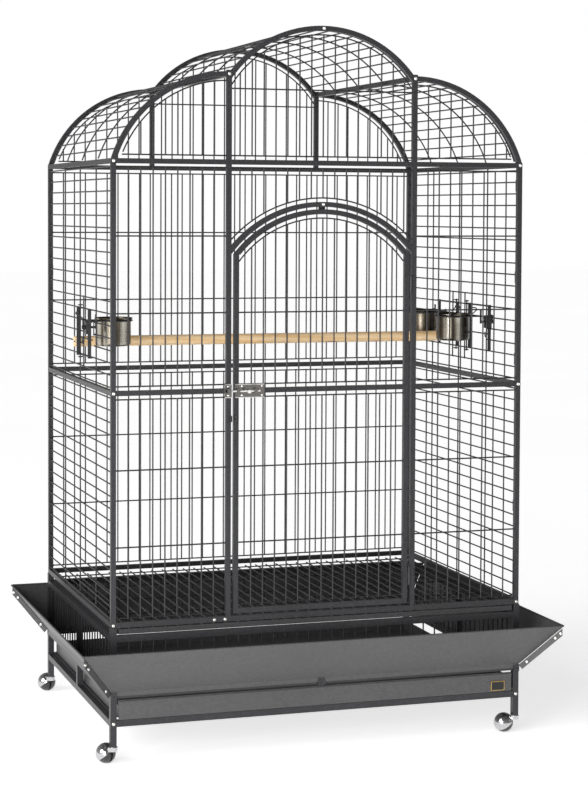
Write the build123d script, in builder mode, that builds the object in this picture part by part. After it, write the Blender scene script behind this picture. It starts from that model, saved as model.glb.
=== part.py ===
"""Bird cage on a wheeled stand: welded wire cage with a play-top dome, front door, three outside
feeder doors with cups, perch, pull-out grille and tray, seed guards and ball casters.

Millimetres. +Z is up and the front faces -Y. The origin is on the floor, under the cage's middle.
"""

from build123d import *
from math import acos, asin, cos, degrees, radians, sin, sqrt
import os

os.makedirs("parts", exist_ok=True)

# ---------------------------------------------------------------- driving dimensions
post_x = 549.8  # corner post centres, across
post_y = 401.25  # corner post centres, front to back
mid_post_x = 251.25  # centres of the posts each side of the door
cage_tube = 12.7
stand_tube = 16.0
tube_wall = 1.2
wire = 3.8
pitch = 31.75  # bar spacing
weld = 0.05  # hairline left where one welded piece meets the next
rail_gap = 10.0  # between a rail and the edge wire that follows it

# Levels of tube centres above the floor.
lower_rail_z = 106.0
guard_rail_z = 178.0
stand_top_z = 320.0
bottom_z = 354.0
mid_z = 937.0
top_z = 1517.0
valley_z = 1739.0
apex_z = 1861.0
cross_wire_levels = (548.5, 742.5, 1136.0, 1330.0)  # between the rails, front and back

lobe_radius = 312.0  # the dome's two side lobes
half_tube = cage_tube / 2
half_stand = stand_tube / 2
layer = wire / 2 + weld  # from a panel's middle plane to either of its two wire layers
mid_post_face = mid_post_x - half_tube
lobe_centre_z = valley_z - lobe_radius
arch_rise = apex_z - valley_z
arch_radius = (mid_post_face**2 + arch_rise**2) / (2 * arch_rise)
arch_centre_z = apex_z - arch_radius
edge = half_tube + rail_gap  # from a rail's centre to its edge wire
arch_overrun = 60.0  # how far an arch is drawn past its post before it is cut off there

# Door and its fixed arch, which share one centre.
door_x = 231.0
door_bottom_z = 373.5
door_arch_apex_z = 1392.5
frame_arch_apex_z = 1411.5
frame_arch_radius = 315.0
door_arch_centre_z = frame_arch_apex_z - frame_arch_radius
door_arch_radius = door_arch_apex_z - door_arch_centre_z
stile_top_z = 1283.0

across = {"X": Plane.YZ, "Y": Plane.ZX, "Z": Plane.XY}
facing = {"-Y": (90, 0, 0), "+Y": (-90, 0, 0), "-X": (0, -90, 0), "+X": (0, 90, 0)}


# ---------------------------------------------------------------- shared shapes
def finish(piece, name):
    """Name a finished piece and write it."""
    piece.part.label = name
    export_step(piece.part, f"parts/{name}.step")


def block(x, y, z, mode=Mode.ADD):
    """A box between two limits along each axis."""
    with Locations(((x[0] + x[1]) / 2, (y[0] + y[1]) / 2, (z[0] + z[1]) / 2)):
        Box(abs(x[1] - x[0]), abs(y[1] - y[0]), abs(z[1] - z[0]), mode=mode)


def tube(along, low, high, places, side=cage_tube):
    """Square tubes along one axis, each centred on a place (u, v) across it.

    The order of (u, v) is (Y, Z) along X, (Z, X) along Y and (X, Y) along Z.
    """
    with BuildSketch(across[along].offset(low)) as section:
        with Locations(*places):
            Rectangle(side, side)
            Rectangle(side - 2 * tube_wall, side - 2 * tube_wall, mode=Mode.SUBTRACT)
    extrude(section.sketch, amount=high - low)


def wires(along, low, high, places, diameter=wire):
    """Straight round wires along one axis, with places as for tube."""
    with BuildSketch(across[along].offset(low)) as section:
        with Locations(*places):
            Circle(diameter / 2)
    extrude(section.sketch, amount=high - low)


def arch(y, centre, radius, angles, keep_outs, side=cage_tube):
    """A square tube bent upright across the cage, cut off square where it enters a keep-out box."""
    for half, mode in ((side / 2, Mode.ADD), (side / 2 - tube_wall, Mode.SUBTRACT)):
        with BuildSketch(Plane.XZ.offset(-y)) as section:
            with BuildLine():
                outer = CenterArc(centre, radius + half, angles[0], angles[1] - angles[0])
                inner = CenterArc(centre, radius - half, angles[0], angles[1] - angles[0])
                Line(outer @ 0, inner @ 0)
                Line(outer @ 1, inner @ 1)
            make_face()
            for (x0, x1), (z0, z1) in keep_outs:
                with Locations(((x0 + x1) / 2, (z0 + z1) / 2)):
                    Rectangle(x1 - x0, z1 - z0, mode=Mode.SUBTRACT)
        extrude(section.sketch, amount=half, both=True, mode=mode)


def arc_wire(y, centre, radius, angles):
    """A round wire bent upright across the cage."""
    with BuildLine(Plane.XZ.offset(-y)) as path:
        CenterArc(centre, radius, angles[0], angles[1] - angles[0])
    with BuildSketch(Plane(origin=path.line @ 0, x_dir=(0, 1, 0), z_dir=path.line % 0)) as section:
        Circle(wire / 2)
    sweep(section.sketch, path=path.line)


def button_heads(places, direction, radius=4.4, height=2.8):
    """Domed bolt heads that stand out of a face in one direction."""
    collar = height / 2
    with Locations(*[Location(place, facing[direction]) for place in places]):
        Cylinder(radius, collar, align=(Align.CENTER, Align.CENTER, Align.MIN))
        with Locations((0, 0, collar)):
            Cone(radius, radius * 0.6, height - collar, align=(Align.CENTER, Align.CENTER, Align.MIN))


def between(low, high, count):
    """Evenly spaced places, both ends included."""
    return [low + (high - low) * i / (count - 1) for i in range(count)]


def arc_height(x, centre, radius):
    """Height of an arc above a place across the cage."""
    return centre[1] + sqrt(radius**2 - (x - centre[0]) ** 2)


# ---------------------------------------------------------------- places that repeat
section_x = [mid_post_x + half_tube + (post_x - mid_post_x - cage_tube) * i / 9 for i in range(1, 9)]
centre_x = [pitch * i for i in range(-7, 8)]
door_bar_x = [pitch * i for i in range(-6, 7)]
back_x = between(-post_x + half_tube, post_x - half_tube, 35)[1:-1]
level_pairs = ((bottom_z, mid_z), (mid_z, top_z))
levels_low = [bottom_z + edge, *cross_wire_levels[:2], mid_z - edge]
levels_high = [mid_z + edge, *cross_wire_levels[2:], top_z - edge]
quarter_y = (post_y - half_tube) / 2
inner_y = post_y - half_tube - weld  # inner faces of the front and back tubes
inner_x = post_x - half_tube - weld
arch_centre = (0, arch_centre_z)
door_centre = (0, door_arch_centre_z)


def lobe_centre(side):
    return (side * mid_post_x, lobe_centre_z)


def mirrored(angle, side):
    """An angle on the right-hand lobe, or its mirror image on the left-hand one."""
    return angle if side > 0 else 180 - angle


# ---------------------------------------------------------------- cage frame
def panel_frame(name, y, mid_post_low, rail_spans):
    """The welded tubes of the front or the back: posts, and rails between them."""
    with BuildPart() as frame:
        corner_top = top_z + half_tube
        tube("Z", bottom_z - half_tube, corner_top, [(-post_x, y), (post_x, y)])
        tube("Z", mid_post_low, valley_z + 10, [(-mid_post_x, y), (mid_post_x, y)])
        for low, high, z in rail_spans:
            tube("X", low + weld, high - weld, [(y, z)])
    finish(frame, name)


side_spans = [(-post_x + half_tube, -mid_post_x - half_tube), (mid_post_x + half_tube, post_x - half_tube)]
full_span = (-post_x + half_tube, post_x - half_tube)
front_rails = [(*full_span, bottom_z)]
front_rails += [(*span, z) for span in side_spans for z in (mid_z, top_z)]
front_rails += [(-mid_post_face, mid_post_face, top_z)]
panel_frame("front_frame", -post_y, bottom_z + half_tube + weld, front_rails)
panel_frame(
    "back_frame", post_y, top_z + half_tube + weld, [(*full_span, z) for z in (bottom_z, mid_z, top_z)]
)


def dome_arches(name, y, with_door_arch):
    """The three bent tubes of the dome, and the fixed arch over the door."""
    with BuildPart() as arches:
        corner_top = top_z + half_tube + weld
        for side in (-1, 1):
            post_span = sorted((side * (mid_post_x - arch_overrun), side * (mid_post_x + half_tube + weld)))
            half_width = sorted((0, side * (post_x + arch_overrun)))
            keep_outs = [(post_span, (top_z, apex_z)), (half_width, (bottom_z, corner_top))]
            ends = sorted(mirrored(a, side) for a in (5, 95))
            arch(y, lobe_centre(side), lobe_radius, ends, keep_outs)
        post_inner, post_beyond = mid_post_face - weld, mid_post_x + arch_overrun
        posts = [(span, (bottom_z, apex_z)) for span in ((-post_beyond, -post_inner), (post_inner, post_beyond))]
        arch(y, arch_centre, arch_radius, (25, 155), posts)
        if with_door_arch:
            arch(y, door_centre, frame_arch_radius, (30, 150), posts)
    finish(arches, name)


dome_arches("front_arches", -post_y, True)
dome_arches("back_arches", post_y, False)

for name, x in (("left_frame", -post_x), ("right_frame", post_x)):
    with BuildPart() as side_frame:
        tube("Y", -inner_y, inner_y, [(z, x) for z in (bottom_z, mid_z, top_z)])
    finish(side_frame, name)

with BuildPart() as valley_rails:
    tube("Y", -inner_y, inner_y, [(valley_z, -mid_post_x), (valley_z, mid_post_x)])
finish(valley_rails, "valley_rails")


# ---------------------------------------------------------------- cage wires
def upright_bars(xs, y, low, high):
    """Upright wires that reach the far side of the edge wires they are welded to."""
    wires("Z", low - wire / 2, high + wire / 2, [(x, y) for x in xs])


def level_wires(span, y, levels):
    """Level wires between two posts, behind the upright ones."""
    wires("X", span[0] + weld, span[1] - weld, [(y, z) for z in levels])


def dome_bars(y_bars, y_cross):
    """The wires that fill the dome's end: edge wires along each arch and uprights between them."""
    edge_lobe = lobe_radius - edge
    low = top_z + edge
    for side in (-1, 1):
        centre = lobe_centre(side)
        for x in section_x:
            high = arc_height(side * x, centre, edge_lobe) if x - mid_post_x < edge_lobe else low
            if high - low > 3 * wire:
                upright_bars([side * x], y_bars, low, high)
        start = degrees(asin((low - centre[1]) / edge_lobe)) + 1.2
        end = degrees(acos((half_tube + 2 * weld) / (edge_lobe - wire / 2)))
        arc_wire(y_cross, centre, edge_lobe, sorted((mirrored(start, side), mirrored(end, side))))
        reach = sqrt(edge_lobe**2 - (low - centre[1]) ** 2)
        ends = sorted((side * (mid_post_x + half_tube + weld), side * (mid_post_x + reach)))
        wires("X", *ends, [(y_cross, low)])
    edge_arch = arch_radius - edge
    for x in centre_x:
        upright_bars([x], y_bars, low, arc_height(x, arch_centre, edge_arch))
    start = degrees(acos((mid_post_face - 2 * weld) / (edge_arch + wire / 2)))
    arc_wire(y_cross, arch_centre, edge_arch, (start, 180 - start))
    arc_foot = arc_height(mid_post_face, arch_centre, edge_arch)
    level_wires((-mid_post_face, mid_post_face), y_cross, [low, arc_foot - 2 * wire])


with BuildPart() as front_bars:
    for side, span in zip((-1, 1), side_spans):
        for low, high in level_pairs:
            upright_bars([side * x for x in section_x], -post_y - layer, low + edge, high - edge)
        level_wires(span, -post_y + layer, levels_low + levels_high)
finish(front_bars, "front_bars")

with BuildPart() as transom_bars:
    transom_radius = frame_arch_radius + edge
    for x in centre_x:
        foot = arc_height(x, door_centre, transom_radius)
        upright_bars([x], -post_y - layer, foot, top_z - edge)
    start = degrees(acos((mid_post_face - 2 * weld) / (transom_radius + wire / 2)))
    arc_wire(-post_y + layer, door_centre, transom_radius, (start, 180 - start))
    level_wires((-mid_post_face, mid_post_face), -post_y + layer, [top_z - edge])
finish(transom_bars, "transom_bars")

with BuildPart() as front_dome_bars:
    dome_bars(-post_y - layer, -post_y + layer)
finish(front_dome_bars, "front_dome_bars")

with BuildPart() as back_bars:
    for low, high in level_pairs:
        upright_bars(back_x, post_y + layer, low + edge, high - edge)
    level_wires(full_span, post_y - layer, levels_low + levels_high)
finish(back_bars, "back_bars")

with BuildPart() as back_dome_bars:
    dome_bars(post_y + layer, post_y - layer)
finish(back_dome_bars, "back_dome_bars")

# The side panels have level bars, with an opening for each feeder between two of them.
side_bar_gap = half_tube + 7.0
side_levels_low = between(bottom_z + side_bar_gap, mid_z - side_bar_gap, 19)
side_levels_high = between(mid_z + side_bar_gap, top_z - side_bar_gap, 19)
opening_foot, opening_head = side_levels_high[2], side_levels_high[6]
opening_in = 44.0  # the opening's upright edge wires, from the side's middle
opening_out = quarter_y
feeders = {"left_front": (-1, -1), "right_front": (1, -1), "right_back": (1, 1)}


def side_bars(name, side):
    """One side's level bars and uprights, with feeder openings left in it."""
    x_bars, x_cross = side * (post_x + layer), side * (post_x - layer)
    reach = wire / 2
    ends = [end for s, end in feeders.values() if s == side]
    crossing = [z for z in side_levels_high if opening_foot < z < opening_head]
    whole = [z for z in side_levels_low + side_levels_high if z not in crossing]
    with BuildPart() as bars:
        wires("Y", -inner_y, inner_y, [(z, x_bars) for z in whole])
        cuts = []
        for end in sorted(ends):
            near, far = sorted((end * (opening_in + reach), end * (opening_out - reach)))
            cuts += [near, far]
        edges = [-inner_y, *cuts, inner_y]
        for low, high in zip(edges[::2], edges[1::2]):
            wires("Y", low, high, [(z, x_bars) for z in crossing])
        rails = (bottom_z, mid_z, top_z)
        for low, high in zip(rails, rails[1:]):
            wires("Z", low + half_tube + weld, high - half_tube - weld,
                  [(x_cross, y) for y in (-quarter_y, 0, quarter_y)])
        hinge_post = (side_levels_high[1] - reach, side_levels_high[7] + reach)
        wires("Z", *hinge_post, [(x_cross, end * opening_in) for end in ends])
    finish(bars, name)


side_bars("left_bars", -1)
side_bars("right_bars", 1)

# Roof: wires from front to back along the three curves, over hoops.
lobe_step = degrees(pitch / lobe_radius)
arch_step = degrees(pitch / arch_radius)
first_lobe_bar = degrees(acos(edge / lobe_radius))
roof_places = []
for side in (-1, 1):
    for i in range(12):
        turn = radians(mirrored(first_lobe_bar - lobe_step * i, side))
        cx, cz = lobe_centre(side)
        roof_places.append((cz + lobe_radius * sin(turn), cx + lobe_radius * cos(turn)))
for i in range(-8, 9):
    turn = radians(90 + arch_step * i)
    roof_places.append((arch_centre_z + arch_radius * sin(turn), arch_radius * cos(turn)))
with BuildPart() as roof_bars:
    wires("Y", -inner_y, inner_y, roof_places)
finish(roof_bars, "roof_bars")

hoop_drop = wire + 2 * weld
hoop_y = (-inner_y + rail_gap, -quarter_y, 0, quarter_y, inner_y - rail_gap)
with BuildPart() as roof_hoops:
    lobe_hoop, arch_hoop = lobe_radius - hoop_drop, arch_radius - hoop_drop
    foot = degrees(asin((top_z + half_tube + wire - lobe_centre_z) / lobe_hoop))
    head = degrees(acos((half_tube + 2 * weld) / (lobe_hoop - wire / 2)))
    spring = degrees(acos((mid_post_face - 2 * weld) / (arch_hoop + wire / 2)))
    for y in hoop_y:
        for side in (-1, 1):
            ends = sorted((mirrored(foot, side), mirrored(head, side)))
            arc_wire(y, lobe_centre(side), lobe_hoop, ends)
        arc_wire(y, arch_centre, arch_hoop, (spring, 180 - spring))
finish(roof_hoops, "roof_hoops")

# ---------------------------------------------------------------- door
door_in = door_x - half_tube
with BuildPart() as door_frame:
    tube("Z", door_bottom_z - half_tube, stile_top_z, [(-door_x, -post_y), (door_x, -post_y)])
    for z in (door_bottom_z, mid_z):
        tube("X", -door_in + weld, door_in - weld, [(-post_y, z)])
finish(door_frame, "door_frame")

with BuildPart() as door_arch:
    arch(-post_y, door_centre, door_arch_radius, (30, 150), [((-300, 300), (bottom_z, stile_top_z + weld))])
finish(door_arch, "door_arch")

with BuildPart() as door_bars:
    edge_door = door_arch_radius - edge
    upright_bars(door_bar_x, -post_y - layer, door_bottom_z + edge, mid_z - edge)
    for x in door_bar_x:
        upright_bars([x], -post_y - layer, mid_z + edge, arc_height(x, door_centre, edge_door))
    door_levels = [door_bottom_z + edge, *levels_low[1:], *levels_high[:2]]
    level_wires((-door_in, door_in), -post_y + layer, door_levels)
    start = degrees(acos((door_in - 2 * weld) / (edge_door + wire / 2)))
    arc_wire(-post_y + layer, door_centre, edge_door, (start, 180 - start))
finish(door_bars, "door_bars")

# Butt hinges in the gap between the right-hand door stile and its post.
front_face = -post_y - half_tube
hinge_x = (door_x + half_tube + mid_post_face) / 2
hinge_y = front_face - 3.0
hinge_levels = (441.0, 1204.0)
knuckle_radius = 3.4
pin_radius = 1.6
leaf_half = 23.0
leaf_thick = 1.2
knuckle_gap = 0.4
leaf_y = (front_face - weld - leaf_thick, front_face - weld)
third = leaf_half / 3


def knuckle(low, high, clearance):
    """A barrel section with its pin hole."""
    wires("Z", low, high, [(hinge_x, hinge_y)], 2 * knuckle_radius)
    with Locations((hinge_x, hinge_y, (low + high) / 2)):
        Cylinder(pin_radius + clearance, high - low, mode=Mode.SUBTRACT)


with BuildPart() as post_hinges:
    for z in hinge_levels:
        block((mid_post_face + 0.4, mid_post_x + half_tube - 0.4), leaf_y, (z - leaf_half, z + leaf_half))
        for low, high in ((z - leaf_half, z - third), (z + third, z + leaf_half)):
            block((hinge_x + pin_radius, mid_post_x), leaf_y, (low, high))
            knuckle(low, high, weld)
        wires("Z", z - leaf_half - 1, z + leaf_half + 1, [(hinge_x, hinge_y)], 2 * pin_radius)
finish(post_hinges, "post_hinges")

with BuildPart() as door_hinges:
    for z in hinge_levels:
        middle = (z - third + knuckle_gap, z + third - knuckle_gap)
        block((door_in + 0.4, door_x + half_tube - 0.4), leaf_y, (z - leaf_half, z + leaf_half))
        block((door_x, hinge_x - pin_radius), leaf_y, middle)
        knuckle(*middle, 0.3)
finish(door_hinges, "door_hinges")

# Slide-bolt latch at the height of the middle rail.
latch_levels = (mid_z - 17.0, mid_z + 17.0)
guide_levels = (mid_z - 6.0, mid_z + 6.0)
plate_y = (front_face - weld - 1.5, front_face - weld)
plate_x = (-235.0, -157.0)
guide_places, guide_half = (-228.0, -182.0), 4.5
keeper_x = (-262.5, -243.8)
keeper_eye_x = (-258.0, -248.0)
keeper_eye_half = 4.2  # half the height of the square eye
bolt_radius = 3.0
bolt_y = front_face - 6.5
bolt_x = (-243.2, -170.0)
knob_x, knob_neck, knob_reach = -205.0, 16.0, 22.0
guide_y = (bolt_y - 5.5, plate_y[0])


def bolt_hole(x, clearance, length):
    """The slide bolt's way through a guide."""
    with Locations(Location((x, bolt_y, mid_z), (0, 90, 0))):
        Cylinder(bolt_radius + clearance, length, mode=Mode.SUBTRACT)


with BuildPart() as latch_plate:
    block(plate_x, plate_y, latch_levels)
    for x in guide_places:
        block((x - guide_half, x + guide_half), guide_y, guide_levels)
        bolt_hole(x, 0.4, 2 * guide_half)
finish(latch_plate, "latch_plate")

with BuildPart() as latch_bolt:
    wires("X", *bolt_x, [(bolt_y, mid_z)], 2 * bolt_radius)
    wires("Y", bolt_y - knob_neck, bolt_y, [(mid_z, knob_x)], 5.0)
    wires("Y", bolt_y - knob_reach, bolt_y - knob_neck, [(mid_z, knob_x)], 9.0)
finish(latch_bolt, "latch_bolt")

with BuildPart() as latch_keeper:
    block(keeper_x, plate_y, latch_levels)
    cheek_y = (guide_y[0] + 1.3 + weld, plate_y[0] - weld)
    block(keeper_eye_x, cheek_y, (guide_levels[0], mid_z - keeper_eye_half))
    block(keeper_eye_x, cheek_y, (mid_z + keeper_eye_half, guide_levels[1]))
    block(keeper_eye_x, (guide_y[0], guide_y[0] + 1.3), guide_levels)
finish(latch_keeper, "latch_keeper")

# A pair of drilled tabs for a padlock, below the latch.
tab_z = mid_z - 70.0
tab_half, tab_thick, tab_reach = 8.0, 2.0, 16.0
tab_foot_half, tab_foot_width = 18.0, 10.5
tab_hole_radius, tab_hole_out = 3.2, 9.0
door_tab_x, post_tab_x = -235.0, -247.5


def padlock_tab(x, side):
    """A drilled tab on a foot that lies against the door or the post, towards one side of the tab."""
    levels = (tab_z - tab_half, tab_z + tab_half)
    block((x - tab_thick / 2, x + tab_thick / 2), (front_face - tab_reach, front_face - weld), levels)
    foot_x = sorted((x - side * tab_thick / 2, x + side * (tab_foot_width - tab_thick / 2)))
    block(foot_x, plate_y, (tab_z - tab_foot_half, tab_z + tab_foot_half))
    with Locations(Location((x, front_face - tab_hole_out, tab_z), (0, 90, 0))):
        Cylinder(tab_hole_radius, tab_thick, mode=Mode.SUBTRACT)


with BuildPart() as door_padlock_tab:
    padlock_tab(door_tab_x, 1)
finish(door_padlock_tab, "door_padlock_tab")

# ---------------------------------------------------------------- perch
perch_radius = 14.0
perch_z = side_levels_high[3]
perch_end = post_x + 15.0
slot = wire + 0.8
with BuildPart() as perch:
    wires("X", -perch_end, perch_end, [(0, perch_z)], 2 * perch_radius)
    for side in (-1, 1):
        ends = sorted((side * (post_x - 0.4), side * (perch_end + 1)))
        block(ends, (-perch_radius, perch_radius), (perch_z - slot / 2, perch_z + slot / 2), Mode.SUBTRACT)
        ends = sorted((side * (post_x - wire - 0.5), side * (perch_end + 1)))
        block(ends, (-slot / 2, slot / 2), (perch_z - perch_radius, perch_z + perch_radius), Mode.SUBTRACT)
finish(perch, "perch")

# ---------------------------------------------------------------- feeders
axis_in = opening_in - 6.0  # the feeder door's hinge axis, from the side's middle
axis_out = layer + wire / 2 + 0.5 + wire / 2  # and out from the side panel's middle plane
door_foot, door_head = opening_foot - 2.5, opening_head + 2.5
ring_z = 1104.0
cup_along, cup_in = 75.0, 67.0  # the cup's centre, from the hinge axis and in from the panel
cup_radius, cup_rim_radius, cup_top, cup_foot = 46.0, 50.5, 1112.0, 1037.0
ring_radius, ring_wire = 49.0, 4.0
flat_width, flat_depth = 3.0, 9.0
flats_along = (6.0, 145.0)
flats_out = (axis_out + wire / 2 + weld, axis_out + wire / 2 + weld + flat_depth)
case_size = (26.0, 12.0, 35.0)  # the lock's block: along, out and up
lock_along, lock_z = flats_along[1] - flat_width / 2 - weld - case_size[0] / 2, 1090.0
lock_radius = 3.0
tongue = 33.5  # from the lock's axis to the end that turns behind the opening's upright
lug_reach = 5.0


def feeder(name, side, end):
    """A feeder door with its turn lock, cup ring and cup. It hangs outside an opening in a side panel.

    Places are given along the panel from the hinge axis, and out from the panel's middle plane.
    """

    def x_at(out):
        return side * (post_x + out)

    def y_at(along):
        return end * (axis_in + along)

    def slab(along, out, z, mode=Mode.ADD):
        block([x_at(o) for o in out], [y_at(a) for a in along], z, mode)

    with BuildPart() as door:
        wires("Z", door_foot - 8, door_head + 8, [(x_at(axis_out), y_at(0))])
        for along in flats_along:
            slab((along - flat_width / 2, along + flat_width / 2), flats_out, (door_foot, door_head))
        low, high = sorted((y_at(wire / 2 + weld), y_at(flats_along[1] + flat_width / 2)))
        levels = (door_foot + wire / 2, door_foot + 48, ring_z, door_head - wire / 2)
        wires("Y", low, high, [(z, x_at(axis_out)) for z in levels])
        case_along = (lock_along - case_size[0] / 2, lock_along + case_size[0] / 2)
        case_out = (flats_out[0], flats_out[0] + case_size[1])
        slab(case_along, case_out, (lock_z - case_size[2] / 2, lock_z + case_size[2] / 2))
        with Locations(Location((x_at(sum(case_out) / 2), y_at(lock_along), lock_z), (0, 90, 0))):
            Cylinder(lock_radius + 0.4, case_size[1], mode=Mode.SUBTRACT)
    finish(door, f"feeder_door_{name}")

    with BuildPart() as lock:
        thumb = (case_out[1] + 0.5, case_out[1] + 9)
        low, high = sorted((x_at(-8), x_at(thumb[1])))
        wires("X", low, high, [(y_at(lock_along), lock_z)], 2 * lock_radius)
        low, high = sorted((x_at(thumb[0]), x_at(thumb[1])))
        wires("X", low, high, [(y_at(lock_along), lock_z)], 11.0)
        slab((lock_along - 4, lock_along + 4), (-8, -5.5), (lock_z - 5, lock_z + tongue))
    finish(lock, f"feeder_lock_{name}")

    with BuildPart() as holder:
        with Locations((x_at(-cup_in), y_at(cup_along), ring_z)):
            Torus(ring_radius, ring_wire / 2)
        arm = 30.0
        start = -cup_in + sqrt(ring_radius**2 - arm**2)
        low, high = sorted((x_at(start), x_at(axis_out - wire / 2 - weld)))
        wires("X", low, high, [(y_at(cup_along + a), ring_z) for a in (-arm, arm)], ring_wire)
    finish(holder, f"cup_holder_{name}")

    with BuildPart() as cup:
        with BuildSketch(Plane.XZ.offset(-y_at(cup_along))):
            with BuildLine():
                Polyline(
                    (x_at(-cup_in), cup_foot),
                    (x_at(-cup_in) + cup_radius - 8, cup_foot),
                    (x_at(-cup_in) + cup_radius, cup_foot + 8),
                    (x_at(-cup_in) + cup_radius, cup_top - 3),
                    (x_at(-cup_in) + cup_rim_radius, cup_top - 3),
                    (x_at(-cup_in) + cup_rim_radius, cup_top),
                    (x_at(-cup_in) + cup_radius - 1, cup_top),
                    (x_at(-cup_in) + cup_radius - 1, cup_foot + 8.4),
                    (x_at(-cup_in) + cup_radius - 8.4, cup_foot + 1),
                    (x_at(-cup_in), cup_foot + 1),
                    close=True,
                )
            make_face()
        revolve(axis=Axis((x_at(-cup_in), y_at(cup_along), 0), (0, 0, 1)))
    finish(cup, f"cup_{name}")


for name, (side, end) in feeders.items():
    feeder(name, side, end)

# ---------------------------------------------------------------- stand
leg_foot = 48.0
leg_inner_x = post_x - half_stand
leg_inner_y = post_y - half_stand
leg_top = bottom_z - half_tube - weld
corners = [(x, y) for x in (-post_x, post_x) for y in (-post_y, post_y)]
stand_levels = (lower_rail_z, guard_rail_z, stand_top_z)

with BuildPart() as stand_legs:
    tube("Z", leg_foot, leg_top, corners, stand_tube)
finish(stand_legs, "stand_legs")

with BuildPart() as stand_rails:
    for z in stand_levels:
        tube("X", -leg_inner_x + weld, leg_inner_x - weld, [(-post_y, z), (post_y, z)], stand_tube)
        tube("Y", -leg_inner_y + weld, leg_inner_y - weld, [(z, -post_x), (z, post_x)], stand_tube)
    for low, high in zip(stand_levels, stand_levels[1:]):
        ends = (low + half_stand + weld, high - half_stand - weld)
        tube("Z", *ends, [(-post_x, 0), (post_x, 0)], stand_tube)
finish(stand_rails, "stand_rails")

with BuildPart() as apron_bars:
    ends = (guard_rail_z + half_stand + weld, stand_top_z - half_stand - weld)
    wires("Z", *ends, [(pitch * i, y) for i in range(-16, 17) for y in (-post_y, post_y)])
    side_places = [(x, side * pitch * i) for i in range(1, 13) for side in (-1, 1) for x in (-post_x, post_x)]
    wires("Z", *ends, side_places)
finish(apron_bars, "apron_bars")

with BuildPart() as runners:
    for side in (-1, 1):
        for shelf_z in (120.0, 331.0):
            wall_x = sorted((side * (leg_inner_x - weld), side * (leg_inner_x - 1.3)))
            shelf_x = sorted((side * (leg_inner_x - weld), side * (leg_inner_x - 26)))
            y = (-leg_inner_y + 1, leg_inner_y - 1)
            block(wall_x, y, (shelf_z - 16, shelf_z))
            block(shelf_x, y, (shelf_z - 1.2, shelf_z))
finish(runners, "runners")

# Sloping seed guards round the stand, mitred at the corners.
guard_foot_z = guard_rail_z + half_stand + 1
guard_rim_z = 300.0
guard_foot_x, guard_foot_y = post_x + half_stand + 0.3, post_y + half_stand + 0.3
flare = 88.7
sheet = 1.2
corner_gap = 1.5
rim_radius = 2.5
slope_length = sqrt(flare**2 + (guard_rim_z - guard_foot_z) ** 2)


def guard(name, outward, foot_half):
    """One guard: a sloping sheet with a rolled rim, and a lip that sits against the stand's rail."""
    along = Vector(-outward[1], outward[0], 0)
    out = Vector(*outward, 0)
    distance = guard_foot_x if outward[0] else guard_foot_y
    foot = out * distance + Vector(0, 0, guard_foot_z)
    up_slope = (out * flare + Vector(0, 0, guard_rim_z - guard_foot_z)).normalized()
    face = Plane(origin=foot, x_dir=along, z_dir=along.cross(up_slope))
    low, high = foot_half - corner_gap, foot_half + flare - corner_gap
    with BuildPart() as panel:
        with BuildSketch(face):
            Polygon((-low, 0), (low, 0), (high, slope_length), (-high, slope_length), align=None)
        extrude(amount=sheet)
        rim_plane = Plane(origin=foot + up_slope * slope_length - along * (high - 1), z_dir=along)
        with BuildSketch(rim_plane):
            Circle(rim_radius)
        extrude(amount=2 * (high - 1))
        lip = Plane(origin=foot + Vector(0, 0, -5), x_dir=along, z_dir=out)
        with BuildSketch(lip):
            Rectangle(2 * low - 4, 12)
        extrude(amount=sheet)
    finish(panel, name)


guard("guard_front", (0, -1), guard_foot_x)
guard("guard_back", (0, 1), guard_foot_x)
guard("guard_left", (-1, 0), guard_foot_y)
guard("guard_right", (1, 0), guard_foot_y)

# Small plates on the corner posts that the side panels hang on, the feeder doors' hinge lugs, the
# post's padlock tab, the stop behind the door's arch, and the clips that hold the seed guards.
hanger_levels = (611.0, 1004.0, 1221.0, 1464.0)
stop_half = 9.0
clip_face, clip_thick = guard_foot_y + 2 * sheet + weld, 1.5
clip_levels = (guard_rail_z - 10.0, guard_rail_z + 6.0)
with BuildPart() as panel_brackets:
    padlock_tab(post_tab_x, -1)
    for side in (-1, 1):
        for end in (-1, 1):
            for z in hanger_levels:
                x = sorted((side * (post_x - half_tube), side * (post_x - 0.6)))
                y = sorted((end * inner_y, end * (inner_y - 3)))
                block(x, y, (z - 15, z + 15))
    for side, end in feeders.values():
        for low in (door_foot - 6.5, door_head + 3.5):
            x = sorted((side * (post_x + weld), side * (post_x + axis_out + lug_reach)))
            y = sorted((end * (axis_in - lug_reach), end * (axis_in + lug_reach)))
            block(x, y, (low, low + 3))
            with Locations((side * (post_x + axis_out), end * axis_in, low + 1.5)):
                Cylinder(wire / 2 + 0.35, 3, mode=Mode.SUBTRACT)
    stop_y = (-post_y + half_tube + weld, -post_y + half_tube + 1.5)
    block((-stop_half, stop_half), stop_y, (door_arch_apex_z - 5, frame_arch_apex_z + 5))
    for side in (-1, 1):
        clip_y = sorted((side * clip_face, side * (clip_face + clip_thick)))
        for x, half in ((-post_x, half_stand), (0, 10), (post_x, half_stand)):
            block((x - half, x + half), clip_y, clip_levels)
            with Locations(Location((x, sum(clip_y) / 2, sum(clip_levels) / 2), (90, 0, 0))):
                Cylinder(2.0, clip_thick, mode=Mode.SUBTRACT)
finish(panel_brackets, "panel_brackets")

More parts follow.
